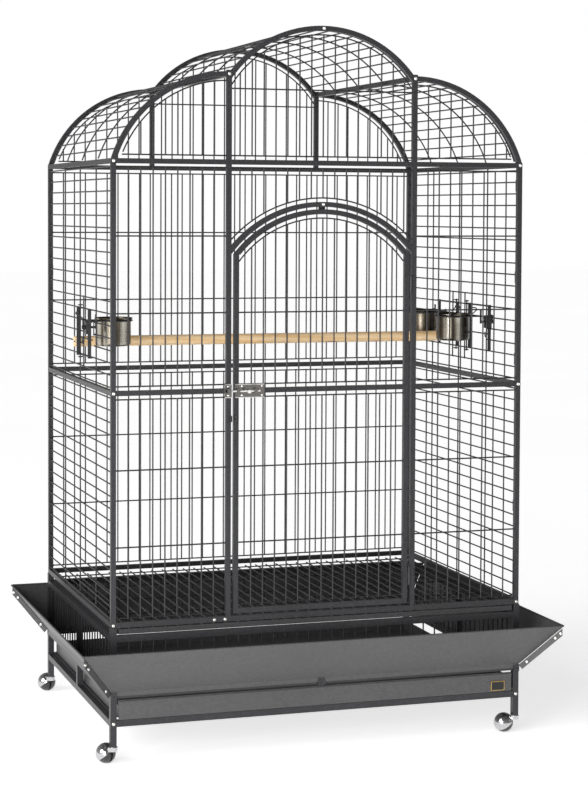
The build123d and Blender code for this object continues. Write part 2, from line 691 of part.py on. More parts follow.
# Bolted straps that stand on edge along the guards' mitres.
strap_thick = 2.4
strap_near, strap_far = 2.2, 17.0  # the strap's two edges, down from the mitre
strap_foot, strap_margin = -2.0, 4.0
mitre_run = Vector(flare * sqrt(2), guard_rim_z - guard_foot_z)
mitre_length = mitre_run.length
strap_screws = (22.0, mitre_length - 40.0, mitre_length - 20.0)
straps = []
for side_x in (-1, 1):
    for side_y in (-1, 1):
        run = Vector(side_x * flare, side_y * flare, guard_rim_z - guard_foot_z)
        sideways = Vector(side_y, -side_x, 0) * (side_x * side_y)
        foot = Vector(side_x * guard_foot_x, side_y * guard_foot_y, guard_foot_z)
        straps.append(Plane(origin=foot, x_dir=run, z_dir=sideways))


def strap_head(down):
    """Where a strap's upper end is cut upright, at a depth down from the mitre."""
    return mitre_length * (1 - (strap_margin + down * mitre_run.Y / mitre_length) / mitre_run.X)


with BuildPart() as guard_straps:
    for plane in straps:
        down = -1 if plane.y_dir.Z > 0 else 1
        corners_of_strap = [
            (strap_foot, down * strap_near), (strap_head(strap_near), down * strap_near),
            (strap_head(strap_far), down * strap_far), (strap_foot, down * strap_far),
        ]
        with BuildSketch(plane):
            Polygon(*corners_of_strap, align=None)
        extrude(amount=strap_thick / 2, both=True)
finish(guard_straps, "guard_straps")

# ---------------------------------------------------------------- bolts
screw_radius, screw_height = 4.2, 2.2
with BuildPart() as bolts:
    bolt_face = front_face - weld
    bolt_places = [(s * post_x, bolt_face, z) for s in (-1, 1) for z in (bottom_z, mid_z, top_z)]
    bolt_places += [(s * mid_post_x, bolt_face, valley_z) for s in (-1, 1)]
    bolt_places += [(0, bolt_face, apex_z), (0, bolt_face, frame_arch_apex_z)]
    bolt_places += [(-mid_post_x - inset, bolt_face, bottom_z) for inset in (8, 36)]
    button_heads(bolt_places, "-Y")
    leg_face = -post_y - half_stand - weld
    button_heads([(s * post_x, leg_face, lower_rail_z) for s in (-1, 1)], "-Y")
    back_places = [(s * post_x, -bolt_face, z) for s in (-1, 1) for z in (bottom_z, mid_z, top_z)]
    back_places += [(s * mid_post_x, -bolt_face, valley_z) for s in (-1, 1)]
    button_heads(back_places + [(0, -bolt_face, apex_z)], "+Y")
    button_heads([(s * post_x, -leg_face, lower_rail_z) for s in (-1, 1)], "+Y")
    for plane in straps:
        down = -1 if plane.y_dir.Z > 0 else 1
        middle = down * (strap_near + strap_far) / 2
        for face, height in ((strap_thick / 2 + weld, screw_height), (-strap_thick / 2 - weld, -screw_height)):
            with BuildSketch(plane.offset(face)) as heads:
                with Locations(*[(along, middle) for along in strap_screws]):
                    Circle(screw_radius)
            extrude(heads.sketch, amount=height)
finish(bolts, "bolts")

# ---------------------------------------------------------------- tray and floor grille
tray_half_x = leg_inner_x - 5
tray_front, tray_back = leg_face + 1.2, leg_inner_y - 8
tray_floor, tray_top, tray_side_top = 120.5, 165.0, 152.0
tray_front_foot = 115.0
lip_radius = 5.0
with BuildPart() as tray:
    block((-tray_half_x, tray_half_x), (tray_front, tray_back), (tray_floor, tray_side_top))
    block(
        (-tray_half_x + sheet, tray_half_x - sheet), (tray_front + sheet, tray_back - sheet),
        (tray_floor + sheet, tray_side_top + 1), Mode.SUBTRACT,
    )
    block((-tray_half_x, tray_half_x), (tray_front, tray_front + sheet), (tray_front_foot, tray_top))
    lip_place = (tray_front + lip_radius - 2, tray_top - lip_radius)
    wires("X", -tray_half_x, tray_half_x, [lip_place], 2 * lip_radius)
finish(tray, "tray")

grille_half_x = leg_inner_x - 5
strip_z = (332.0, 345.0)
grille_bar_z = 342.6
grille_back = leg_inner_y - 5
with BuildPart() as floor_grille:
    block((-grille_half_x, grille_half_x), (front_face - 1.2, front_face), strip_z)
    for side in (-1, 1):
        x = sorted((side * grille_half_x, side * (grille_half_x - 3)))
        block(x, (front_face + weld, grille_back), (332.0, 344.5))
    wires("Y", front_face + weld, grille_back, [(grille_bar_z, pitch * i) for i in range(-16, 17)])
    cross_ends = grille_half_x - 3 - weld
    cross_z = grille_bar_z - wire - weld
    wires("X", -cross_ends, cross_ends, [(y, cross_z) for y in between(-385, 385, 5)])
finish(floor_grille, "floor_grille")

# ---------------------------------------------------------------- casters
ball_radius = 25.0
web_half, web_gap = 2.0, 2.4  # half the hood's middle rib, and half the gap between the half balls
ball_z = sqrt(ball_radius**2 - web_gap**2)
trail = 28.0
shell_inner, shell_outer = 25.7, 27.0
hood_side = Vector(-0.40, -0.47, 0.79)  # square to the hood's edge, towards the covered half
hub_radius = 9.0
running_gap = 0.35
boss_radius, boss_foot, boss_top = 12.0, 36.0, 46.5
socket_foot = 38.0
stem_radius, stem_neck, stem_flange = 5.5, 3.5, 8.2
stem_top = 80.0
axle_radius, axle_half = 3.0, 21.5
caster_turns = {"left_front": -65.0, "left_back": -77.0, "right_front": -30.0, "right_back": -47.0}

with BuildPart() as caster_stems:
    collar = boss_top + 0.4
    wires("Z", collar, stem_top, corners, 2 * stem_radius)
    wires("Z", collar, leg_foot - weld, corners, 2 * stem_flange)
    wires("Z", socket_foot + 0.5, collar, corners, 2 * stem_neck)
finish(caster_stems, "caster_stems")


def caster(name, x, y):
    """A ball caster: a swivelling hood whose middle rib carries the axle of two half balls.

    It is drawn with its stem on the Z axis and its ball towards -X, then turned and put in place.
    """
    place = Location((x, y, 0), (0, 0, caster_turns[name]))
    axle = Location((-trail, 0, ball_z), (90, 0, 0))
    rib_edge = Vector(hood_side.Z, 0, -hood_side.X)
    reach = 2 * shell_outer
    with BuildPart() as hood:
        with Locations((-trail, 0, ball_z)):
            Sphere(shell_outer)
        with Locations(Plane(origin=(-trail, 0, ball_z), z_dir=hood_side).location):
            above = (Align.CENTER, Align.CENTER, Align.MIN)
            Box(2 * reach, 2 * reach, reach, align=above, mode=Mode.INTERSECT)
        wires("Z", boss_foot, boss_top, [(0, 0)], 2 * boss_radius)
        with Locations((-trail, 0, ball_z)):
            Sphere(shell_inner, mode=Mode.SUBTRACT)
        rib = Plane(origin=(-trail, web_half, ball_z), x_dir=rib_edge, z_dir=(0, -1, 0))
        with BuildSketch(rib):
            Circle((shell_inner + shell_outer) / 2)
            with Locations((0, reach)):
                Rectangle(2 * reach, 2 * reach, mode=Mode.INTERSECT)
            Circle(hub_radius)
        extrude(amount=2 * web_half)
        with Locations((0, 0, (socket_foot + boss_top) / 2)):
            Cylinder(stem_neck + running_gap, boss_top - socket_foot, mode=Mode.SUBTRACT)
        with Locations((0, 0, boss_top + reach / 2)):
            Cylinder(boss_radius, reach, mode=Mode.SUBTRACT)
        with Locations(axle):
            Cylinder(axle_radius + running_gap, 3 * web_half, mode=Mode.SUBTRACT)
    hood.part = hood.part.moved(place)
    finish(hood, f"caster_hood_{name}")

    with BuildPart() as ball:
        with Locations((-trail, 0, ball_z)):
            Sphere(ball_radius)
        block((-trail - reach, -trail + reach), (-web_gap, web_gap), (-reach, reach), Mode.SUBTRACT)
        with Locations(axle):
            Cylinder(axle_radius + weld, 2 * axle_half + 1, mode=Mode.SUBTRACT)
        wires("Y", -axle_half, axle_half, [(ball_z, -trail)], 2 * axle_radius)
    ball.part = ball.part.moved(place)
    finish(ball, f"caster_ball_{name}")


for name, (x, y) in zip(("left_front", "left_back", "right_front", "right_back"), corners):
    caster(name, x, y)
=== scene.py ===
"""Looks of a bird cage on a wheeled stand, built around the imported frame. Metres, +Z up, front at -Y."""
from math import cos, pi, radians, sin, sqrt

import bmesh
import bpy
from mathutils import Matrix, Vector


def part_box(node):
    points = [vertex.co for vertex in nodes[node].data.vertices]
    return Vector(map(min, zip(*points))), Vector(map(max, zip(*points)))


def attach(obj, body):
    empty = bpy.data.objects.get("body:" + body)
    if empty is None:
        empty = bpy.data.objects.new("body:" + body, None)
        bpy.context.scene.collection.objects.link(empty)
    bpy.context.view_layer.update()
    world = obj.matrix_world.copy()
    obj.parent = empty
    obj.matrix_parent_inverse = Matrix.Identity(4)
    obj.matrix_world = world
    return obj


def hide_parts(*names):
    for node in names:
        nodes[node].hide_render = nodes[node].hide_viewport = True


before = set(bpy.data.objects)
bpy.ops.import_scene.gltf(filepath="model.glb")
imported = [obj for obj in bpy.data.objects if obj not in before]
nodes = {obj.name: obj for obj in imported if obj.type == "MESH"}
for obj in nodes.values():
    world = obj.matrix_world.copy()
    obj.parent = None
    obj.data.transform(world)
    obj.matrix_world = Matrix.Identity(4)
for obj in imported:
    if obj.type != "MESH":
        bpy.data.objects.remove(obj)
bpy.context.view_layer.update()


# ---------------------------------------------------------------- material helpers
class Graph:
    """Short hand for building one node material."""

    def __init__(self, name):
        self.material = bpy.data.materials.new(name)
        self.material.use_nodes = True
        self.tree = self.material.node_tree
        self.shader = self.tree.nodes["Principled BSDF"]
        self.place = self.add("ShaderNodeTexCoord").outputs["Object"]

    def add(self, kind, **values):
        node = self.tree.nodes.new(kind)
        for key, value in values.items():
            if key in node.inputs:
                node.inputs[key].default_value = value
            else:
                setattr(node, key, value)
        return node

    def link(self, source, target):
        self.tree.links.new(source, target)

    def set(self, **values):
        for key, value in values.items():
            self.shader.inputs[key.replace("_", " ")].default_value = value

    def stretched(self, scale):
        mapping = self.add("ShaderNodeMapping", Scale=scale)
        self.link(self.place, mapping.inputs["Vector"])
        return mapping.outputs["Vector"]

    def noise(self, scale, detail=3.0, roughness=0.5, where=None):
        node = self.add("ShaderNodeTexNoise", Scale=scale, Detail=detail, Roughness=roughness)
        self.link(where or self.place, node.inputs["Vector"])
        return node.outputs["Fac"]

    def ramp(self, source, stops):
        node = self.add("ShaderNodeValToRGB")
        ramp = node.color_ramp
        while len(ramp.elements) < len(stops):
            ramp.elements.new(0.5)
        for element, (at, colour) in zip(ramp.elements, stops):
            element.position = at
            element.color = (*colour, 1.0)
        self.link(source, node.inputs["Fac"])
        return node.outputs["Color"]

    def blend(self, factor, first, second):
        """Mixes two colours. Each value is a number, a colour or another node's output."""
        node = self.add("ShaderNodeMix", data_type="RGBA")
        for value, socket in ((factor, node.inputs[0]), (first, node.inputs[6]), (second, node.inputs[7])):
            if isinstance(value, tuple):
                socket.default_value = (*value, 1.0)
            elif isinstance(value, float):
                socket.default_value = value
            else:
                self.link(value, socket)
        return node.outputs[2]

    def spread(self, source, low, high):
        """Maps 0..1 onto low..high."""
        node = self.add("ShaderNodeMapRange")
        node.inputs["To Min"].default_value = low
        node.inputs["To Max"].default_value = high
        self.link(source, node.inputs["Value"])
        return node.outputs["Result"]

    def bump(self, height, strength, distance):
        node = self.add("ShaderNodeBump", Strength=strength, Distance=distance)
        self.link(height, node.inputs["Height"])
        self.link(node.outputs["Normal"], self.shader.inputs["Normal"])

    def colour(self, source):
        self.link(source, self.shader.inputs["Base Color"])

    def roughness(self, source):
        self.link(source, self.shader.inputs["Roughness"])


def powder_coat(name, dark, light, fleck, grain, low_rough, high_rough):
    """Hammertone powder coat: an orange-peel skin with metallic flecks, pits and drifts of tone."""
    g = Graph(name)
    drift = g.noise(3.0, 2.0)
    patch = g.noise(grain * 0.3, 2.0, 0.6)
    skin = g.noise(grain, 2.0, 0.55)
    speck = g.noise(grain * 2.6, 1.0, 0.5)
    base = g.ramp(drift, ((0.35, dark), (0.65, light)))
    mottled = g.blend(g.ramp(skin, ((0.42, (0, 0, 0)), (0.62, (1, 1, 1)))), base, light)
    clouded = g.blend(g.ramp(patch, ((0.38, (0.55, 0.55, 0.55)), (0.60, (0, 0, 0)))), mottled, dark)
    flecks = g.ramp(speck, ((0.60, (0, 0, 0)), (0.70, (1, 1, 1))))
    g.colour(g.blend(flecks, clouded, fleck))
    g.roughness(g.spread(skin, low_rough, high_rough))
    g.bump(skin, 0.35, 0.0006)
    g.set(Metallic=0.35)
    return g.material


def bright_metal(name, tint, low_rough, high_rough, metallic=1.0):
    """Plated metal with faint wipe marks and dull patches."""
    g = Graph(name)
    wipe = g.noise(140.0, 4.0, 0.6, g.stretched((1.0, 1.0, 9.0)))
    haze = g.noise(320.0, 3.0, 0.5)
    darker = tuple(0.8 * c for c in tint)
    g.colour(g.ramp(haze, ((0.3, darker), (0.62, tint))))
    g.roughness(g.spread(wipe, low_rough, high_rough))
    g.bump(wipe, 0.015, 0.0002)
    g.set(Metallic=metallic)
    return g.material


def polished_steel():
    """Drawn and polished stainless: upright bright and dark streaks of painted reflection in its colour, with
    fine rings in its gloss.
    """
    g = Graph("polished_stainless")
    # The upright streak mask and the bright, middle and dark colours are painted reflection: bands of light
    # and shade in the steel's base colour.
    painted_reflection_streak = g.noise(1.0, 2.0, 0.5, g.stretched((36.0, 36.0, 0.8)))
    ring = g.noise(1.0, 4.0, 0.6, g.stretched((3.0, 3.0, 900.0)))
    bright, middle, dark = (0.66, 0.62, 0.54), (0.17, 0.145, 0.11), (0.030, 0.026, 0.022)
    g.colour(g.ramp(painted_reflection_streak, ((0.44, dark), (0.55, middle), (0.66, bright))))
    g.roughness(g.spread(ring, 0.22, 0.30))
    g.set(Metallic=1.0)
    return g.material


def pine():
    """Bare turned pine: long grain along the perch, growth bands and a few knots."""
    g = Graph("pine_wood")
    along = g.stretched((1.3, 22.0, 22.0))
    warp = g.noise(2.2, 3.0, 0.55, along)
    rings = g.add("ShaderNodeTexWave", Scale=1.3, Distortion=5.5, Detail=3.0)
    rings.bands_direction = "DIAGONAL"
    rings.inputs["Detail Scale"].default_value = 1.2
    g.link(along, rings.inputs["Vector"])
    fibre = g.noise(9.0, 5.0, 0.65, g.stretched((4.0, 160.0, 160.0)))
    pale, honey, brown = (0.90, 0.68, 0.42), (0.80, 0.52, 0.25), (0.34, 0.16, 0.06)
    grain = g.ramp(rings.outputs["Fac"], ((0.15, pale), (0.75, (0.86, 0.62, 0.35)), (0.95, honey)))
    toned = g.blend(g.ramp(warp, ((0.35, (0, 0, 0)), (0.7, (1, 1, 1)))), grain, honey)
    grained = g.blend(0.55, grain, toned)
    knots = g.add("ShaderNodeTexVoronoi", Scale=1.0)
    g.link(g.stretched((5.5, 26.0, 26.0)), knots.inputs["Vector"])
    core_stops = ((0.0, (1, 1, 1)), (0.10, (0.8, 0.8, 0.8)), (0.17, (0, 0, 0)))
    core = g.ramp(knots.outputs["Distance"], core_stops)
    knotted = g.blend(core, grained, brown)
    g.colour(g.blend(g.ramp(fibre, ((0.55, (0, 0, 0)), (0.75, (0.35, 0.35, 0.35)))), knotted, honey))
    g.roughness(g.spread(fibre, 0.5, 0.68))
    g.bump(fibre, 0.25, 0.0005)
    return g.material


def ball_plastic():
    """Glossy black plastic with scuffs."""
    g = Graph("caster_ball_plastic")
    scuff = g.noise(260.0, 4.0, 0.7)
    haze = g.noise(35.0, 2.0, 0.5)
    g.colour(g.ramp(haze, ((0.35, (0.008, 0.008, 0.009)), (0.7, (0.022, 0.022, 0.025)))))
    g.roughness(g.spread(scuff, 0.12, 0.34))
    g.bump(scuff, 0.06, 0.0002)
    g.set(Coat_Weight=0.4)
    return g.material


def flat_finish(name, dark, light, scale, low_rough, high_rough, metallic=0.0):
    """A plain paint or foil with slight unevenness."""
    g = Graph(name)
    cloud = g.noise(scale, 3.0, 0.5)
    g.colour(g.ramp(cloud, ((0.35, dark), (0.65, light))))
    g.roughness(g.spread(cloud, low_rough, high_rough))
    g.bump(cloud, 0.08, 0.0003)
    g.set(Metallic=metallic)
    return g.material


coats = {
    "tube": powder_coat("powder_coat_tube", (0.022, 0.022, 0.024), (0.038, 0.038, 0.041),
                        (0.13, 0.13, 0.14), 420.0, 0.30, 0.46),
    "wire": powder_coat("powder_coat_wire", (0.018, 0.018, 0.019), (0.034, 0.034, 0.036),
                        (0.09, 0.09, 0.095), 520.0, 0.34, 0.50),
    "grille": powder_coat("powder_coat_grille", (0.020, 0.020, 0.021), (0.036, 0.036, 0.038),
                          (0.10, 0.10, 0.105), 460.0, 0.14, 0.26),
    "sheet": powder_coat("powder_coat_sheet", (0.070, 0.070, 0.071), (0.096, 0.096, 0.097),
                         (0.20, 0.20, 0.205), 380.0, 0.34, 0.46),
    "zinc": bright_metal("bright_zinc", (0.93, 0.92, 0.88), 0.10, 0.22, 0.65),
    "plate": bright_metal("dull_zinc_plate", (0.22, 0.21, 0.20), 0.16, 0.30),
    "chrome": bright_metal("caster_chrome", (0.80, 0.80, 0.81), 0.08, 0.20),
    "hood": bright_metal("caster_hood_chrome", (0.62, 0.62, 0.63), 0.04, 0.12),
    "stainless": polished_steel(),
    "pine": pine(),
    "ball": ball_plastic(),
    "black": flat_finish("gloss_black_foil", (0.006, 0.006, 0.007), (0.014, 0.014, 0.015),
                         180.0, 0.22, 0.4),
    "gold": flat_finish("gold_foil", (0.52, 0.33, 0.09), (0.68, 0.46, 0.15), 160.0, 0.28, 0.42, 0.8),
}


def coat_of(name):
    """The finish of each CAD node, by its name."""
    if name == "floor_grille":
        return "grille"
    if name.startswith(("cup_holder", "feeder_door")) or "bars" in name or name == "roof_hoops":
        return "wire"
    if name.startswith("cup_"):
        return "stainless"
    if name.startswith("caster_ball"):
        return "ball"
    if name.startswith("caster"):
        return "hood" if "hood" in name else "chrome"
    if name in ("latch_plate", "latch_keeper"):
        return "plate"
    if name == "latch_bolt" or name == "bolts":
        return "zinc"
    if name.startswith("feeder_lock"):
        return "black"
    if name.startswith("guard") or name == "tray":
        return "sheet"
    return "pine" if name == "perch" else "tube"


def paint(obj, key):
    obj.data.materials.clear()
    obj.data.materials.append(coats[key])


for name, node in nodes.items():
    paint(node, coat_of(name))


# ---------------------------------------------------------------- shapes for the small pieces
class Shape:
    """Gathers turned, swept and plated shapes, in millimetres, for one piece."""

    def __init__(self):
        self.verts, self.faces = [], []

    def rings(self, rings):
        """Joins rings of points, one after another, and closes both ends with a face."""
        first = len(self.verts)
        count = len(rings[0])
        for ring in rings:
            self.verts += ring
        for i in range(len(rings) - 1):
            low, high = first + i * count, first + (i + 1) * count
            for j in range(count):
                k = (j + 1) % count
                self.faces.append((low + j, low + k, high + k, high + j))
        last = first + (len(rings) - 1) * count
        self.faces.append(tuple(reversed(range(first, first + count))))
        self.faces.append(tuple(range(last, last + count)))

    def turned(self, place, axis, profile, sides=24):
        """Turns (radius, height) pairs about an axis. A third value of "hex" makes that ring six-sided."""
        up = Vector(axis).normalized()
        x = Vector((0, 0, 1)) if abs(up.z) < 0.5 else Vector((1, 0, 0))
        x = (x - up * x.dot(up)).normalized()
        y = up.cross(x)
        rings = []
        for radius, height, *form in profile:
            ring = []
            for j in range(sides):
                turn = 2 * pi * j / sides
                r = radius * cos(pi / 6) / cos(turn % (pi / 3) - pi / 6) if form else radius
                ring.append(Vector(place) + up * height + x * (r * cos(turn)) + y * (r * sin(turn)))
            rings.append(ring)
        self.rings(rings)

    def swept(self, points, radius, sides=10):
        """A round rod along a line of points."""
        points = [Vector(p) for p in points]
        side = (points[1] - points[0]).orthogonal().normalized()
        rings = []
        for i, point in enumerate(points):
            ahead = (points[min(i + 1, len(points) - 1)] - points[max(i - 1, 0)]).normalized()
            side = (side - ahead * side.dot(ahead)).normalized()
            up = ahead.cross(side)
            turns = [2 * pi * j / sides for j in range(sides)]
            rings.append([point + side * (radius * cos(t)) + up * (radius * sin(t)) for t in turns])
        self.rings(rings)

    def plate(self, place, x_dir, y_dir, half, corner, levels):
        """A plate with rounded corners, as (height, inset) levels above a place."""
        corner_steps = 4
        x_dir, y_dir = Vector(x_dir), Vector(y_dir)
        up = x_dir.cross(y_dir)
        rings = []
        for height, inset in levels:
            ring = []
            radius = max(corner - inset, 0.2)
            for sx, sy, start in ((1, 1, 0), (-1, 1, 90), (-1, -1, 180), (1, -1, 270)):
                for step in range(corner_steps + 1):
                    turn = radians(start + 90 / corner_steps * step)
                    u = sx * (half[0] - inset - radius) + radius * cos(turn)
                    v = sy * (half[1] - inset - radius) + radius * sin(turn)
                    ring.append(Vector(place) + x_dir * u + y_dir * v + up * height)
            rings.append(ring)
        self.rings(rings)


def make(name, shape, coat, body, stands_for=(), crease=35.0):
    """Makes one piece from a shape and hangs it on its body."""
    mesh = bpy.data.meshes.new(name)
    mesh.from_pydata([tuple(0.001 * c for c in v) for v in shape.verts], [], shape.faces)
    build = bmesh.new()
    build.from_mesh(mesh)
    bmesh.ops.recalc_face_normals(build, faces=build.faces)
    build.to_mesh(mesh)
    build.free()
    for face in mesh.polygons:
        face.use_smooth = True
    mesh.set_sharp_from_angle(angle=radians(crease))
    obj = bpy.data.objects.new(name, mesh)
    bpy.context.scene.collection.objects.link(obj)
    paint(obj, coat)
    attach(obj, body)
    if stands_for:
        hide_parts(*stands_for)
    return obj


def middle(name):
    """The centre of a CAD node's box, in millimetres."""
    low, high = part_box(name)
    return [500 * (a + b) for a, b in zip(low, high)]


# ---------------------------------------------------------------- sizes shared with the CAD, in millimetres
post_x, post_y, mid_post_x, door_x = 549.8, 401.25, 251.25, 231.0
half_tube, half_stand, pitch = 6.35, 8.0, 31.75
layer = 1.95  # from a tube's middle to the wires of its panel
weld = 0.05  # the hairline that stands for a weld
bottom_z, mid_z, top_z, valley_z, apex_z, arch_top_z = 354.0, 937.0, 1517.0, 1739.0, 1861.0, 1411.5
front_face = -post_y - half_tube
rail_edge = half_tube + 10.0  # from a rail's middle to the nearest cross wire
low_cross_wires, high_cross_wires = (548.5, 742.5), (1136.0, 1330.0)
door_foot_z = 373.5
apron_levels = (186.0, 312.0)
lower_rail_z = 106.0
guard_foot_z, guard_rim_z, flare = 187.0, 300.0, 88.7
plate_thick, leaf_thick = 1.5, 1.2
cup_foot, cup_top, cup_radius = 1037.0, 1112.0, 46.0
label_x, label_z = 497.0, 131.0


# ---------------------------------------------------------------- bolts and screws
socket_head = [(4.4, 0.0), (4.4, 0.5), (4.2, 1.2), (3.7, 1.9), (2.9, 2.5), (2.3, 2.75), (2.0, 2.8),
               (1.85, 2.7, "hex"), (1.8, 1.3, "hex"), (0.3, 1.1)]
screw_head = [(2.6, 0.0), (2.6, 0.25), (2.3, 0.65), (1.6, 0.95), (1.15, 1.0), (0.95, 0.9, "hex"),
              (0.9, 0.35, "hex"), (0.1, 0.3)]
pin_head = [(1.7, -0.3), (2.4, 0.0), (2.5, 0.5), (2.1, 1.1), (1.2, 1.4), (0.1, 1.5)]


def bolt_heads():
    """Button-head bolts on the frame, the legs and both sides of the guards' corner straps."""
    shape = Shape()
    for side in (-1, 1):
        face = side * (post_y + half_tube + weld)
        places = [(s * post_x, face, z) for s in (-1, 1) for z in (bottom_z, mid_z, top_z)]
        places += [(s * mid_post_x, face, valley_z) for s in (-1, 1)] + [(0, face, apex_z)]
        if side < 0:
            places += [(0, face, arch_top_z)] + [(-mid_post_x - inset, face, bottom_z) for inset in (8, 36)]
        leg_face = side * (post_y + half_stand + weld)
        places += [(s * post_x, leg_face, lower_rail_z) for s in (-1, 1)]
        for place in places:
            shape.turned(place, (0, side, 0), socket_head)
    rise = guard_rim_z - guard_foot_z
    run = Vector((flare * sqrt(2), rise))
    foot_gap, strap_middle, strap_face = 8.3, 9.6, 1.25
    small_head = [(0.95 * r, 0.78 * h, *form) for r, h, *form in socket_head]
    for sx in (-1, 1):
        for sy in (-1, 1):
            foot = Vector((sx * (post_x + foot_gap), sy * (post_y + foot_gap), guard_foot_z))
            along = Vector((sx * flare, sy * flare, rise)).normalized()
            flat = Vector((sx, sy, 0)).normalized()
            down = (flat * (rise / run.length)) - Vector((0, 0, 1)) * (run.x / run.length)
            across = along.cross(down)
            for reach in (22.0, run.length - 40.0, run.length - 20.0):
                for face in (-1, 1):
                    place = foot + along * reach + down * strap_middle + across * (face * strap_face)
                    shape.turned(place, across * face, small_head)
    make("frame_bolt_heads", shape, "zinc", "cage", ("bolts",))


def latch_screws():
    """Screws and rolled edges on the slide latch's plate and its keeper."""
    face = front_face - weld - plate_thick
    screw_rise, edge_rise, edge_radius = 11.5, 16.4, 1.3
    sides = (
        ("keeper_rolled_edges", "post_hardware_screws", "cage", (-253.1,), (-262.0, -253.0, -244.4)),
        ("latch_rolled_edges", "door_hardware_screws", "door", (-217.0, -164.0), (-234.4, -196.0, -157.6)),
    )
    for edge_name, screw_name, body, screw_places, edge_places in sides:
        edges, screws = Shape(), Shape()
        for way in (-1, 1):
            line = [(x, face - 0.4, mid_z + way * edge_rise) for x in edge_places]
            edges.swept(line, edge_radius)
            for x in screw_places:
                screws.turned((x, face, mid_z + way * screw_rise), (0, -1, 0), screw_head)
        make(edge_name, edges, "zinc", body)
        make(screw_name, screws, "zinc", body)


def hinge_screws():
    """Painted screws on the door's two hinges, and the heads of their pins."""
    post_hinge, door_hinge = Shape(), Shape()
    leaf = front_face - weld - leaf_thick
    pin_x, pin_y, pin_reach = (door_x + mid_post_x) / 2, front_face - 3.0, 24.0
    for level in (441.0, 1204.0):
        for z in (-15.0, 0.0, 15.0):
            post_hinge.turned((253.2, leaf, level + z), (0, -1, 0), screw_head)
            door_hinge.turned((229.4, leaf, level + z), (0, -1, 0), screw_head)
        for side in (-1, 1):
            post_hinge.turned((pin_x, pin_y, level + side * pin_reach), (0, 0, side), pin_head)
    make("post_hinge_screws", post_hinge, "tube", "cage")
    make("door_hinge_screws", door_hinge, "tube", "door")


def padlock_tab_screws():
    """Painted screws above and below each padlock tab."""
    face, tab_z, rise = front_face - weld - plate_thick, 867.0, 13.0
    for name, body, x in (("post_tab_screws", "cage", -252.3), ("door_tab_screws", "door", -230.2)):
        tabs = Shape()
        for z in (tab_z + rise, tab_z - rise):
            tabs.turned((x, face, z), (0, -1, 0), screw_head)
        make(name, tabs, "tube", body)


# ---------------------------------------------------------------- weld beads
bead = [(1.95, 2.6), (2.35, 2.2), (2.75, 1.4), (3.3, 0.5), (3.6, 0.05), (3.0, 0.0)]


def weld_beads():
    """Small fillets of weld and paint where a wire meets a tube."""
    cage, door = Shape(), Shape()

    def both_ends(shape, low, high, axis):
        for place, way in ((low, 1), (high, -1)):
            shape.turned(place, [way * a for a in axis], bead, 12)

    low_levels = [bottom_z + rail_edge, *low_cross_wires, mid_z - rail_edge]
    high_levels = [mid_z + rail_edge, *high_cross_wires, top_z - rail_edge]
    door_levels = [door_foot_z + rail_edge, *low_levels[1:], *high_levels[:2]]
    inner, outer = mid_post_x + half_tube, post_x - half_tube
    for z in low_levels + high_levels:
        for side in (-1, 1):
            near, far = sorted((side * inner, side * outer))
            both_ends(cage, (near, -post_y + layer, z), (far, -post_y + layer, z), (1, 0, 0))
        both_ends(cage, (-outer, post_y - layer, z), (outer, post_y - layer, z), (1, 0, 0))
    reach = door_x - half_tube
    for z in door_levels:
        both_ends(door, (-reach, -post_y + layer, z), (reach, -post_y + layer, z), (1, 0, 0))
    gap = half_tube + 7.0
    depth = post_y - half_tube
    side_wires = 19
    for low, high in ((bottom_z + gap, mid_z - gap), (mid_z + gap, top_z - gap)):
        for i in range(side_wires):
            z = low + (high - low) * i / (side_wires - 1)
            for side in (-1, 1):
                x = side * (post_x + layer)
                both_ends(cage, (x, -depth, z), (x, depth, z), (0, 1, 0))
    for i in range(-16, 17):
        for y in (-post_y, post_y):
            low, high = [(pitch * i, y, z) for z in apron_levels]
            both_ends(cage, low, high, (0, 0, 1))
    make("cage_weld_beads", cage, "wire", "cage")
    make("door_weld_beads", door, "wire", "door")


# ---------------------------------------------------------------- feeders
def spun_cup(name):
    """A drawn steel cup with a rolled rim and a rounded foot."""
    x, y, _ = middle(f"cup_{name}")
    foot, top = cup_foot, cup_top
    shape = Shape()
    outside = [(30.0, foot), (38.0, foot)]
    turns = [radians(a) for a in range(15, 91, 15)]
    outside += [(38.0 + 8.0 * sin(t), foot + 8.0 - 8.0 * cos(t)) for t in turns]
    outside += [(cup_radius, top - drop) for drop in (62.0, 30.0, 6.0)] + [(cup_radius + 0.5, top - 4.2)]
    turns = [radians(a) for a in range(-110, 161, 18)]
    roll = [(48.3 + 2.2 * cos(t), top - 2.2 + 2.2 * sin(t)) for t in turns]
    inside = [(45.0, top - 2.5), (45.0, top - 30.0), (45.0, foot + 9.0)]
    turns = [radians(a) for a in range(75, -1, -15)]
    inside += [(37.4 + 7.6 * sin(t), foot + 8.6 - 7.6 * cos(t)) for t in turns]
    profile = [(0.5, foot + 0.6), *outside, *roll, *inside, (0.5, foot + 1.0)]
    shape.turned((x, y, 0), (0, 0, 1), profile, 96)
    make(f"spun_cup_{name}", shape, "stainless", f"cup_{name}", (f"cup_{name}",), 50.0)


def arc(centre, radius, start, end, steps, plane):
    """Points on an arc, as plane(u, v) places them."""
    turns = [radians(start + (end - start) * i / steps) for i in range(steps + 1)]
    return [plane(centre[0] + radius * cos(t), centre[1] + radius * sin(t)) for t in turns]


